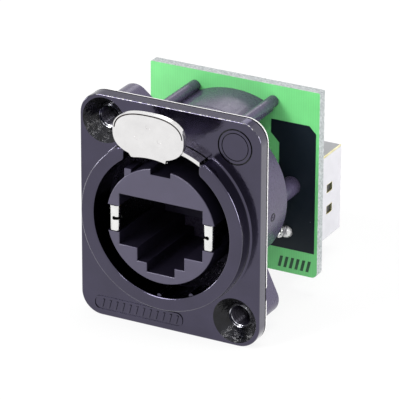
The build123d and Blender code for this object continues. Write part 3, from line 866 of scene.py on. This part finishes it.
class SOCKET_OT_tab(Operator):
    """Builds the bright push tab with its neck, curved slide and tooth"""

    bl_idname = "socket.tab"
    bl_label = "Push tab"

    face_thickness, oval_power, edge_round = 0.72, 2.5, 0.14
    tongue = ((-3.2, 0.0), (-3.1, -2.3), (-2.1, -3.6), (2.4, -3.6), (2.65, -2.3), (2.65, 0.0))
    tongue_arc, arc_setback = 10.72, 0.1
    neck_half_width, neck_overlap = 2.3, 0.4
    slide_front, slide_half_width, slide_setback = -4.0, 5.25, 0.2
    ear_front, ear_half_width = -0.27, 6.0
    tooth_line = ((0, 0.2, 10.6), (0, 1.4, 9.5), (0, 2.0, 9.5))
    tooth_width, tooth_thickness = 2.4, 0.3
    rim_inset, rim_width, rim_depth, rim_end, rim_reach = 0.13, 0.17, 0.14, 0.4, 9
    dimples = ((0.0, 1.3), (-1.6, -0.4), (1.6, -0.4))
    dimple = ((0, -0.2), (0.4, -0.2), (0.3, 0.05), (0.15, 0.09), (0, 0.1))

    def oval(self, sizes, centre_z, inset=0.0):
        """The face's outline, a little fuller than an ellipse."""
        points = []
        for step in range(120):
            angle = math.radians(3.0 * step)
            across, along = math.cos(angle), math.sin(angle)
            x = math.copysign(abs(across) ** (2 / self.oval_power), across)
            z = math.copysign(abs(along) ** (2 / self.oval_power), along)
            points.append(((sizes.tab_half_width - inset) * x,
                           centre_z + (sizes.tab_half_height - inset) * z))
        return points

    def rim_line(self, sizes, centre_z):
        """The shape of the groove that runs along the rim's upper half."""
        rim = prism(self.oval(sizes, centre_z, self.rim_inset), TAB_FRONT - BEYOND,
                    TAB_FRONT + self.rim_depth)
        inside = self.oval(sizes, centre_z, self.rim_inset + self.rim_width)
        rim = carved(rim, prism(inside, TAB_FRONT - 2 * BEYOND, TAB_FRONT + BEYOND))
        lower = rectangle(-self.rim_reach, self.rim_reach, 0, centre_z + self.rim_end)
        return carved(rim, prism(lower, TAB_FRONT - 3 * BEYOND, TAB_FRONT + 2 * BEYOND))

    def in_rim_line(self, point, sizes, centre_z):
        """Whether a face lies in the groove along the rim."""
        def within(inset):
            across = abs(point.x) / (sizes.tab_half_width - inset)
            along = abs(point.z - centre_z) / (sizes.tab_half_height - inset)
            return across ** self.oval_power + along ** self.oval_power < 1
        on_floor = abs(point.y - TAB_FRONT - self.rim_depth) < 0.01
        return (TAB_FRONT + 0.02 < point.y < TAB_FRONT + self.rim_depth + 0.02
                and point.z > centre_z and within(self.rim_inset - 0.03)
                and (on_floor or not within(self.rim_inset + self.rim_width + 0.03)))

    def execute(self, context):
        sizes, colours = context.scene.socket_sizes, context.scene.socket_colours
        back = TAB_FRONT + self.face_thickness
        centre_z = high("push_tab").z - sizes.tab_half_height
        under_slide = circle(SLIDE_INNER, steps=144)
        form = united(prism(self.oval(sizes, centre_z), TAB_FRONT, back),
                      prism([(x, centre_z + z) for x, z in self.tongue], TAB_FRONT, back))
        form = carved(form, prism(circle(self.tongue_arc, steps=144), TAB_FRONT - BEYOND,
                                  back - self.arc_setback))
        form = carved(form, prism(under_slide, back - self.slide_setback, back + BEYOND))
        neck = band(SLIDE_INNER, SLIDE_OUTER, self.neck_half_width)
        slide = band(SLIDE_INNER, SLIDE_OUTER, self.slide_half_width)
        overlap = self.neck_overlap
        form = united(form, prism(neck, back - overlap, self.slide_front + overlap),
                      prism(slide, self.slide_front, SLIDE_BACK))
        form = carved(rounded(form, self.edge_round, 4), self.rim_line(sizes, centre_z))
        for x, z in self.dimples:
            profile = [(radius, TAB_FRONT + depth) for radius, depth in self.dimple]
            form = carved(form, turned(profile, (x, centre_z + z), 32))
        ears = soft_block(band(SLIDE_INNER, SLIDE_OUTER, self.ear_half_width), self.ear_front,
                          SLIDE_BACK - HAIR, 0.08)
        tooth = ribbon([Vector(point) for point in self.tooth_line], (1, 0, 0), self.tooth_width,
                       self.tooth_thickness)
        form = finished(gathered(form, ears, tooth), "bright_tab", nickel_finish(colours),
                        body=TAB, nodes=("push_tab",))
        # Painted shade in the rim's groove
        lined(form, groove_shade_finish(), lambda point: self.in_rim_line(point, sizes, centre_z))
        return {"FINISHED"}


class SOCKET_OT_insert(Operator):
    """Builds the round moulding with the plug opening, its keyway and its spring slots"""

    bl_idname = "socket.insert"
    bl_label = "Front moulding"

    keyway_half_width, keyway_floor, keyway_top = 1.45, 7.0, 9.0
    lug_left, lug_right, lug_top, lug_front, lug_back = -5.3, -4.3, 7.1, 0.1, 3.1
    slot_near, slot_far, slot_bottom, slot_top, slot_depth = 5.0, 9.0, -1.95, 1.7, 9.6
    unshaded_depth = 0.3

    def execute(self, context):
        sizes, colours = context.scene.socket_sizes, context.scene.socket_colours
        front, edge = COLLAR_FRONT, sizes.moulding_round
        rim = front_round(lambda inset: circle(INSERT_RADIUS - inset, steps=144), front, edge, 3)
        form = lofted(rim + [(circle(INSERT_RADIUS, steps=144), FLOOR_FRONT)])
        mouth = front_round(lambda flare: plug_outline(spare=flare), front, edge, 3)
        form = carved(form, lofted([(plug_outline(spare=edge), front - BEYOND)] + mouth
                                   + [(plug_outline(), FLOOR_FRONT + BEYOND)]))
        keyway = rectangle(-self.keyway_half_width, self.keyway_half_width, self.keyway_floor,
                           self.keyway_top)
        form = holed(form, keyway, front, FLOOR_FRONT)
        for side in (-1, 1):
            slot = side_rectangle(side, self.slot_near, self.slot_far, self.slot_bottom,
                                  self.slot_top)
            form = carved(form, prism(slot, front - BEYOND, front + self.slot_depth))
        lug = rectangle(self.lug_left, self.lug_right, INSERT_RADIUS / 2, self.lug_top)
        lug = soft_block(lug, front + self.lug_front, front + self.lug_back, 0.1)
        plastic = moulding_finish("insert_plastic", colours.moulding, 0.3, 0.39, 1.92)
        form = finished(gathered(form, lug), "round_insert", plastic,
                        nodes=("front_insert",))
        # Painted shade: a much darker copy of the plastic on every face deeper than the front
        inner = moulding_finish("insert_inside_shade", shade(colours.moulding, 0.3), 0.46, 0.55, 1.25)
        lined(form, inner, lambda point: point.y > front + self.unshaded_depth)
        for node in ("front_contact_carrier", "rear_contact_carrier"):
            refinished(node, plastic)
        return {"FINISHED"}


class SOCKET_OT_springs(Operator):
    """Builds the two ground springs beside the plug opening"""

    bl_idname = "socket.springs"
    bl_label = "Ground springs"

    thickness = 0.28
    inner, outer = 6.12, 7.45
    bottom, top = -1.85, 1.6
    leg_depth, tail_depth = 9.6, 2.6
    notch_reach, notch_radius, notch_half = 0.62, 0.26, 0.19

    def notch(self, side, middle):
        """The keyhole notch in a spring's face, open towards the plug."""
        front, back = COLLAR_FRONT - BEYOND, COLLAR_FRONT + BEYOND
        reach = self.inner + self.notch_reach
        slit = side_rectangle(side, reach, self.inner - BEYOND, middle - self.notch_half,
                              middle + self.notch_half)
        return united(prism(circle(self.notch_radius, (side * reach, middle), 24), front, back),
                      prism(slit, front, back))

    def execute(self, context):
        metal = spring_finish()
        half, middle = self.thickness / 2, (self.bottom + self.top) / 2
        face = COLLAR_FRONT + half
        for name, side in (("left", -1), ("right", 1)):
            near, far = side * (self.inner + half), side * (self.outer - half)
            path = bent_path([(near, COLLAR_FRONT + self.leg_depth, middle), (near, face, middle),
                              (far, face, middle), (far, COLLAR_FRONT + self.tail_depth, middle)],
                             self.thickness)
            form = ribbon(path, (0, 0, 1), self.top - self.bottom, self.thickness)
            form = rounded(carved(form, self.notch(side, middle)), 0.05, 2, 50)
            finished(form, f"spring_{name}", metal,
                     nodes=(f"ground_spring_{name}",))
        return {"FINISHED"}


class SOCKET_OT_round_body(Operator):
    """Builds the round body behind the flange, with its lobes, arch, posts and studs"""

    bl_idname = "socket.round_body"
    bl_label = "Round body"

    cut_front = -3.0
    drum_radius, drum_back = 10.5, 10.4
    shoulder_radius, shoulder_back = 11.8, 1.28
    crown_inner, crown_radius, crown_back, crown_angle = 10.0, 11.95, 8.28, 38.0
    arch_inner, arch_angle = 9.0, 25.4
    lobe_radius, lobe_back, lobe_root = 2.15, 6.1, 5.7
    thread_root, thread_crest, thread_pitch = 1.52, 1.27, 0.62
    thread_start, thread_rise, thread_flat, thread_fall = 0.15, 0.24, 0.32, 0.56
    thread_seat, plate_gap = 0.03, 0.02
    tunnel_inner, tunnel_half_width, tunnel_back = 10.45, 6.15, 8.0
    body_round = 0.22
    post_radius, foot_radius, foot_place = 0.8, 0.62, 0.905
    peg_radius, peg_start, peg_proud = 0.5, 0.2, 0.3
    stud_radius, stud_x, stud_start = 1.3, 8.6, 1.0
    mark_angle, mark_y = -3.9, 6.43
    mark_ring = ((0.62, -0.06), (0.54, 0.06), (0.42, 0.06), (0.34, -0.06))
    mark_dot = ((0, -0.06), (0.16, -0.06), (0.12, 0.05), (0, 0.05))

    def lobe_outline(self, place):
        """A screw lobe with straight sides down to the drum."""
        reach = math.hypot(*place)
        toward = math.degrees(math.atan2(place[1], place[0]))
        spread = math.degrees(math.acos((self.lobe_root - self.lobe_radius) / reach))
        return (arc(self.lobe_radius, toward - spread, toward + spread, 28, place)
                + arc(self.lobe_root, toward + spread, toward + 360 - spread, 40))

    def drum(self, bore, start):
        """The hollow drum with its shoulder, crown, lobes and arch."""
        form = turned([(bore, start), (self.shoulder_radius, start),
                       (self.shoulder_radius, self.shoulder_back),
                       (self.drum_radius, self.shoulder_back), (self.drum_radius, self.drum_back),
                       (bore, self.drum_back)], steps=144)
        floor = circle(self.drum_radius - HAIR, steps=144)
        crown = sector(self.crown_inner, self.crown_radius, self.crown_angle)
        form = united(form, prism(floor, FLOOR_FRONT, self.drum_back - HAIR),
                      prism(crown, start, self.crown_back))
        for place in SCREW_PLACES:
            form = united(form, prism(self.lobe_outline(place), start, self.lobe_back))
        form = carved(form, prism(circle(bore, steps=144), self.cut_front, FLOOR_FRONT - HAIR))
        for place in SCREW_PLACES:
            form = carved(form, prism(circle(self.thread_root, place, 48), self.cut_front,
                                      self.lobe_back + BEYOND))
        arch = sector(self.arch_inner, self.crown_radius, self.arch_angle)
        form = united(form, prism(arch, FLOOR_FRONT, BOARD_FRONT))
        window = rectangle(-PLUG_HALF_WIDTH, PLUG_HALF_WIDTH, PLUG_BOTTOM, PLUG_TOP)
        form = holed(form, window, FLOOR_FRONT, self.drum_back)
        tunnel = band(self.tunnel_inner, TUNNEL_OUTER, self.tunnel_half_width)
        form = carved(form, prism(tunnel, self.cut_front, self.tunnel_back))
        return rounded(form, self.body_round)

    def posts(self, start):
        """The posts with their feet and pegs, and the studs at the drum's sides."""
        for side, place in zip((-1, 1), POST_PLACES):
            foot = (place[0] * self.foot_place, place[1] * self.foot_place)
            stud = (side * self.stud_x, 0)
            yield soft_block(circle(self.post_radius, place, 40), start, BOARD_FRONT, 0.12)
            yield soft_block(circle(self.foot_radius, foot, 32), start, BOARD_FRONT - 0.02, 0.1)
            yield soft_block(circle(self.stud_radius, stud, 48), FLOOR_FRONT + self.stud_start,
                             BOARD_FRONT, 0.15)
            yield soft_block(circle(self.peg_radius, place, 24), BOARD_FRONT - self.peg_start,
                             BOARD_BACK + self.peg_proud, 0.1)

    def execute(self, context):
        sizes, colours = context.scene.socket_sizes, context.scene.socket_colours
        start = PLATE_BACK + self.plate_gap
        form = gathered(self.drum(sizes.bore_radius, start), *self.posts(start))
        plastic = moulding_finish("body_plastic", colours.round_body, 0.24, 0.33)
        finished(form, "round_body", plastic, nodes=("rear_body", "body_back"))
        # A darker copy of the plastic: painted shade on the threads deep in the lobes; it also
        # darkens the mould mark's ring
        dark = moulding_finish("thread_plastic", shade(colours.moulding, 0.3), 0.24, 0.33, 1.4)
        self.threads(dark)
        self.mould_mark(dark)
        return {"FINISHED"}

    def mould_mark(self, plastic):
        """A small plain ring that the mould's pin leaves on the drum's side."""
        form = gathered(turned(self.mark_ring, steps=40), turned(self.mark_dot, steps=24))
        form.data.transform(Matrix.Rotation(math.radians(-self.mark_angle), 4, "Y")
                            @ Matrix.Translation((self.drum_radius, self.mark_y, 0))
                            @ Matrix.Rotation(math.radians(-90), 4, "Z"))
        finished(form, "mould_mark", plastic)

    def threads(self, plastic):
        """The turns of the screw thread in both lobes."""
        outer, inner = self.thread_root + self.thread_seat, self.thread_crest
        forms = []
        for place in SCREW_PLACES:
            turn = PLATE_BACK + self.thread_start
            while turn < self.lobe_back - self.thread_pitch:
                forms.append(turned([(outer, turn), (inner, turn + self.thread_rise),
                                     (inner, turn + self.thread_flat),
                                     (outer, turn + self.thread_fall)], place, 48))
                turn += self.thread_pitch
        finished(gathered(*forms), "lobe_threads", plastic)


class SOCKET_OT_board(Operator):
    """Builds the board, its dark copper area, printed marks and solder joints"""

    bl_idname = "socket.board"
    bl_label = "Circuit board"

    low_corner, top_corner, edge_round = 0.8, 0.2, 0.06
    step_x, step_top, step_bottom, cut_corner = 6.7, 6.9, -5.2, 1.0
    mark_count, mark_left, mark_bottom, mark_pitch = 6, 6.7, -11.95, 0.82
    mark_width, mark_height, mark_lean = 0.42, 1.55, 0.35
    print_proud, print_root = 0.02, 0.05
    track_count, track_pitch, track_half, track_end = 8, 1.02, 0.15, 0.5
    leg_x, leg_z, joint_radius, joint_height = 7.95, -6.75, 0.86, 0.75
    tail_place, tail_turn, tail_radius, tail_half = (7.25, -7.25), -48.0, 0.34, 0.85

    def board(self):
        """The board with nearly sharp upper and round lower corners."""
        lo, hi = low("circuit_board"), high("circuit_board")
        lower, upper = self.low_corner, self.top_corner
        outline = (arc(lower, -90, 0, 8, (hi.x - lower, lo.z + lower))
                   + arc(upper, 0, 90, 4, (hi.x - upper, hi.z - upper))
                   + arc(upper, 90, 180, 4, (lo.x + upper, hi.z - upper))
                   + arc(lower, 180, 270, 8, (lo.x + lower, lo.z + lower)))
        return soft_block(outline, BOARD_FRONT, BOARD_BACK, self.edge_round)

    def copper(self):
        """The coated copper area, stepped along its left side."""
        lo, hi = low("board_ground_area"), high("board_ground_area")
        slant = self.step_x - lo.x
        outline = [(lo.x, hi.z), (hi.x - self.cut_corner, hi.z), (hi.x, hi.z - self.cut_corner),
                   (hi.x, lo.z), (lo.x, lo.z), (lo.x, self.step_bottom - slant),
                   (self.step_x, self.step_bottom), (self.step_x, self.step_top - slant),
                   (lo.x, self.step_top)]
        return soft_block(outline, lo.y, BOARD_FRONT + 0.1, 0.02)

    def marks(self):
        """A plain printed hatch low on the board."""
        for i in range(self.mark_count):
            bar = slanted_bar(self.mark_left + i * self.mark_pitch, self.mark_bottom,
                              self.mark_width, self.mark_height, self.mark_lean)
            yield prism(bar, BOARD_FRONT - self.print_proud, BOARD_FRONT + self.print_root)

    def tracks(self):
        """Copper tracks under the coating, from the front contacts' joints to the rear socket."""
        upper = high("front_solder_joints").z - self.track_end
        lower = low("front_solder_joints").z + self.track_end
        end = high("rear_jack_shield").z - self.track_end
        for i in range(self.track_count):
            x = ((self.track_count - 1) / 2 - i) * self.track_pitch
            start = upper if i % 2 else lower
            track = rectangle(x - self.track_half, x + self.track_half, end, start)
            yield prism(track, BOARD_BACK - self.print_root, BOARD_BACK + self.print_proud)

    def joints(self):
        """Domed solder over the shield's legs, with a short tail on one of them."""
        r, h, foot = self.joint_radius, self.joint_height, BOARD_FRONT + 0.1
        rise = [(r * math.cos(a) ** 0.7, BOARD_FRONT - h * math.sin(a) ** 1.4)
                for a in (math.radians(9.0 * i) for i in range(10))]
        dome = [(0, foot), (r, foot)] + rise + [(0, BOARD_FRONT - h)]
        forms = [turned(dome, (side * self.leg_x, self.leg_z), 48) for side in (-1, 1)]
        drop = [(self.tail_radius * math.sin(a), -self.tail_half * math.cos(a))
                for a in (math.radians(18.0 * i) for i in range(1, 10))]
        tail = turned([(0, -self.tail_half)] + drop + [(0, self.tail_half)], steps=24)
        x, z = self.tail_place
        tail.data.transform(Matrix.Translation((x, BOARD_FRONT - 0.05, z))
                            @ Matrix.Rotation(math.radians(self.tail_turn), 4, "Y")
                            @ Matrix.Rotation(math.radians(90), 4, "Z"))
        return forms + [tail]

    def execute(self, context):
        colours = context.scene.socket_colours
        green = board_finish(colours)
        finished(self.board(), "green_board", green, nodes=("circuit_board",))
        finished(self.copper(), "copper_area", mask_finish(colours),
                 nodes=("board_ground_area",))
        finished(gathered(*self.marks()), "board_marks", ink_finish())
        finished(gathered(*self.tracks()), "board_tracks", green)
        solder = solder_finish()
        finished(gathered(*self.joints()), "shield_solder", solder,
                 nodes=("shield_solder_joints",), smooth_angle=60)
        for node in ("front_solder_joints", "rear_solder_joints"):
            refinished(node, solder)
        return {"FINISHED"}


class SOCKET_OT_rear_socket(Operator):
    """Builds the folded shield and the housing of the rear socket"""

    bl_idname = "socket.rear_socket"
    bl_label = "Rear socket"

    axis_z = -5.1
    half_width, bottom, top = 8.0, -12.6, -0.2
    fold, mouth_spare, housing_gap = 0.45, 0.3, 0.05
    window_heights, window_half, window_front, window_back = (-5.2, -8.3), 0.62, 27.4, 29.1
    leg_bottom, leg_top, leg_proud, leg_root = -7.1, -5.9, 0.75, 0.5
    lining_spare, lining_inner, lining_setback = 0.02, 0.06, 0.015
    fold_line_half, fold_line_height, fold_line_proud, fold_line_place = 0.1, 0.2, 0.03, 0.45

    def window(self, side, near, far, z, spare=0.0):
        """A block in the place of a side window, larger all round by spare."""
        half = self.window_half + spare
        return prism(side_rectangle(side, near, far, z - half, z + half),
                     self.window_front - spare, self.window_back + spare)

    def shield(self, wall):
        """The folded sheet with its mouth and side windows, and its two legs."""
        half, bottom, top = self.half_width, self.bottom, self.top
        form = prism(rounded_rectangle(-half, half, bottom, top, self.fold, 6), BOARD_BACK,
                     SHIELD_BACK)
        inside = rounded_rectangle(-half + wall, half - wall, bottom + wall, top - wall,
                                   self.fold - wall, 6)
        form = carved(form, prism(inside, BOARD_BACK - BEYOND, SHIELD_BACK - wall))
        form = holed(form, plug_outline(self.axis_z, self.mouth_spare), SHIELD_BACK, SHIELD_BACK)
        for z in self.window_heights:
            for side in (-1, 1):
                form = carved(form, self.window(side, half - BEYOND, half + BEYOND, z))
        form = rounded(form, 0.05, 2)
        legs = [prism(rectangle(x - wall / 2, x + wall / 2, self.leg_bottom, self.leg_top),
                      BOARD_FRONT - self.leg_proud, BOARD_BACK + self.leg_root)
                for x in (-half + wall / 2, half - wall / 2)]
        return gathered(form, *legs)

    def edges(self, wall):
        """The brass that shows along the top folds and in the windows."""
        top, line = self.top, self.fold_line_half
        near = self.half_width - wall - self.lining_spare
        far = self.half_width - self.lining_setback
        for side in (-1, 1):
            x = side * (self.half_width - wall * self.fold_line_place)
            fold_line = rectangle(x - line, x + line, top - self.fold_line_height,
                                  top + self.fold_line_proud)
            yield soft_block(fold_line, BOARD_BACK, SHIELD_BACK - 0.05, 0.03)
            for z in self.window_heights:
                yield carved(self.window(side, near, far, z, self.lining_spare),
                             self.window(side, near - BEYOND, far + BEYOND, z, -self.lining_inner))

    def housing(self, gap):
        """The moulding inside the shield, with the plug opening through it."""
        block = prism(rectangle(-self.half_width + gap, self.half_width - gap, self.bottom + gap,
                                self.top - gap), BOARD_BACK, SHIELD_BACK - gap)
        return rounded(holed(block, plug_outline(self.axis_z), BOARD_BACK, SHIELD_BACK), 0.1, 2)

    def execute(self, context):
        sizes, colours = context.scene.socket_sizes, context.scene.socket_colours
        wall = sizes.sheet_wall
        finished(self.shield(wall), "folded_shield", sheet_finish(colours),
                 nodes=("rear_jack_shield",))
        finished(gathered(*self.edges(wall)), "shield_edges", cut_edge_finish())
        plastic = moulding_finish("jack_plastic", (0.03, 0.03, 0.034), 0.41, 0.5)
        finished(self.housing(wall + self.housing_gap), "jack_housing", plastic,
                 nodes=("rear_jack_housing",))
        return {"FINISHED"}


class SOCKET_OT_contacts(Operator):
    """Gives the contacts and the latch spring their metal finish"""

    bl_idname = "socket.contacts"
    bl_label = "Contacts"

    def execute(self, context):
        gold = gold_finish(context.scene.socket_colours)
        for end in ("front", "rear"):
            for i in range(1, 9):
                refinished(f"{end}_contact_{i}", gold)
        refinished("latch_spring", spring_finish())
        return {"FINISHED"}


class SOCKET_OT_stage(Operator):
    """Sets the pale floor, the soft light and the camera at the photograph's angle"""

    bl_idname = "socket.stage"
    bl_label = "Stage"

    azimuth, elevation, roll = 27.832, 23.369, 0.265
    shift_x, shift_z, distance = -2.880, -1.857, 459.755
    lens, sensor = 322.55, 36
    floor_half, floor_glow, surround = 3.0, 0.85, 0.5
    # Each lamp's name, place and size in metres, and power in watts
    lamps = (("key", (-0.35, -0.55, 0.5), 0.35, 5.0),
             ("side", (0.55, 0.22, 0.12), 0.3, 2.6),
             ("top", (0.1, 0.05, 0.7), 0.35, 1.8),
             ("left", (-0.65, -0.14, 0.04), 0.14, 0.9),
             ("near", (0.28, -0.6, 0.6), 0.12, 0.8),
             ("back", (-0.2, 0.65, 0.42), 0.2, 0.26))

    def execute(self, context):
        self.floor()
        self.world(context)
        for lamp in self.lamps:
            self.lamp(*lamp)
        self.camera(context)
        context.scene.view_settings.view_transform = "Standard"
        return {"FINISHED"}

    def floor(self):
        """A large pale plane under the flange's lower edge."""
        bm = bmesh.new()
        size, height = self.floor_half, -FLANGE_HALF_HEIGHT * MM
        bm.faces.new([bm.verts.new((x, y, height)) for x, y in rectangle(-size, size, -size, size)])
        mesh = bpy.data.meshes.new("floor")
        bm.to_mesh(mesh)
        bm.free()
        floor = bpy.data.objects.new("floor", mesh)
        bpy.context.scene.collection.objects.link(floor)
        material = bpy.data.materials.new("pale_floor")
        material.use_nodes = True
        tree = material.node_tree
        paint = fed(tree, tree.nodes["Principled BSDF"], Base_Color=(0.9, 0.9, 0.9, 1),
                    Roughness=0.9)
        glow = tree.nodes.new("ShaderNodeEmission")
        share = worked(tree, "MULTIPLY", self.seen_directly(tree), self.floor_glow)
        self.mixed(tree, share, paint, glow, "Material Output")
        mesh.materials.append(material)

    @staticmethod
    def seen_directly(tree):
        """1 for rays that show the background: camera, glossy and transmission rays."""
        rays = tree.nodes.new("ShaderNodeLightPath").outputs
        seen = worked(tree, "MAXIMUM", rays["Is Camera Ray"], rays["Is Glossy Ray"])
        return worked(tree, "MAXIMUM", seen, rays["Is Transmission Ray"])

    @staticmethod
    def mixed(tree, share, first, second, output):
        """Sends a mix of two shaders to a tree's output."""
        mix = fed(tree, tree.nodes.new("ShaderNodeMixShader"), share, first.outputs[0],
                  second.outputs[0])
        fed(tree, tree.nodes[output], Surface=mix.outputs["Shader"])

    def world(self, context):
        """A white surround that lights the object gently."""
        world = bpy.data.worlds.new("surround")
        context.scene.world = world
        world.use_nodes = True
        tree, white = world.node_tree, (1, 1, 1, 1)
        light = fed(tree, tree.nodes["Background"], Color=white, Strength=self.surround)
        shown = fed(tree, tree.nodes.new("ShaderNodeBackground"), Color=white, Strength=1.0)
        self.mixed(tree, self.seen_directly(tree), light, shown, "World Output")

    @staticmethod
    def lamp(name, place, size, power):
        """A soft square lamp that points at the object."""
        light = bpy.data.lights.new(name, "AREA")
        light.shape = "SQUARE"
        light.size = size
        light.energy = power
        lamp = bpy.data.objects.new(name, light)
        lamp.location = place
        lamp.rotation_euler = (-Vector(place)).to_track_quat("-Z", "Y").to_euler()
        bpy.context.scene.collection.objects.link(lamp)

    def camera(self, context):
        """The camera at the photograph's angle and distance."""
        a, e, r = (math.radians(v) for v in (self.azimuth, self.elevation, self.roll))
        back = Vector((math.sin(a) * math.cos(e), -math.cos(a) * math.cos(e), math.sin(e)))
        right = Vector((math.cos(a), math.sin(a), 0))
        up = back.cross(right)
        right, up = math.cos(r) * right + math.sin(r) * up, math.cos(r) * up - math.sin(r) * right
        place = -(right * self.shift_x + up * self.shift_z - back * self.distance)
        data = bpy.data.cameras.new("camera")
        data.lens = self.lens
        data.sensor_width = self.sensor
        data.clip_start, data.clip_end = 0.01, 20
        camera = bpy.data.objects.new("camera", data)
        turn = Matrix((right, up, back)).transposed().to_4x4()
        camera.matrix_world = Matrix.Translation(place * MM) @ turn
        context.scene.collection.objects.link(camera)
        context.scene.camera = camera


OPERATORS = (SOCKET_OT_flange, SOCKET_OT_gasket, SOCKET_OT_tab, SOCKET_OT_insert,
             SOCKET_OT_springs, SOCKET_OT_round_body, SOCKET_OT_board, SOCKET_OT_rear_socket,
             SOCKET_OT_contacts, SOCKET_OT_stage)


class SOCKET_PT_panel(Panel):
    """The socket's sizes, colours and pieces"""

    bl_idname = "SOCKET_PT_panel"
    bl_label = "Feedthrough socket"
    bl_space_type = "VIEW_3D"
    bl_region_type = "UI"
    bl_category = "Socket"

    def draw(self, context):
        for group in (context.scene.socket_sizes, context.scene.socket_colours):
            box = self.layout.box()
            for name in group.bl_rna.properties.keys():
                if name not in {"rna_type", "name"}:
                    box.prop(group, name)
        for operator in OPERATORS:
            self.layout.operator(operator.bl_idname)


def register():
    """Adds the classes and the scene's two groups of settings."""
    for cls in (SocketSizes, SocketColours, *OPERATORS, SOCKET_PT_panel):
        bpy.utils.register_class(cls)
    bpy.types.Scene.socket_sizes = PointerProperty(type=SocketSizes)
    bpy.types.Scene.socket_colours = PointerProperty(type=SocketColours)


def unregister():
    """Takes them away again."""
    del bpy.types.Scene.socket_sizes
    del bpy.types.Scene.socket_colours
    for cls in (SOCKET_PT_panel, *reversed(OPERATORS), SocketColours, SocketSizes):
        bpy.utils.unregister_class(cls)


def main():
    """Builds every piece."""
    register()
    for operator in OPERATORS:
        group, name = operator.bl_idname.split(".")
        getattr(getattr(bpy.ops, group), name)()


if __name__ == "__main__":
    main()
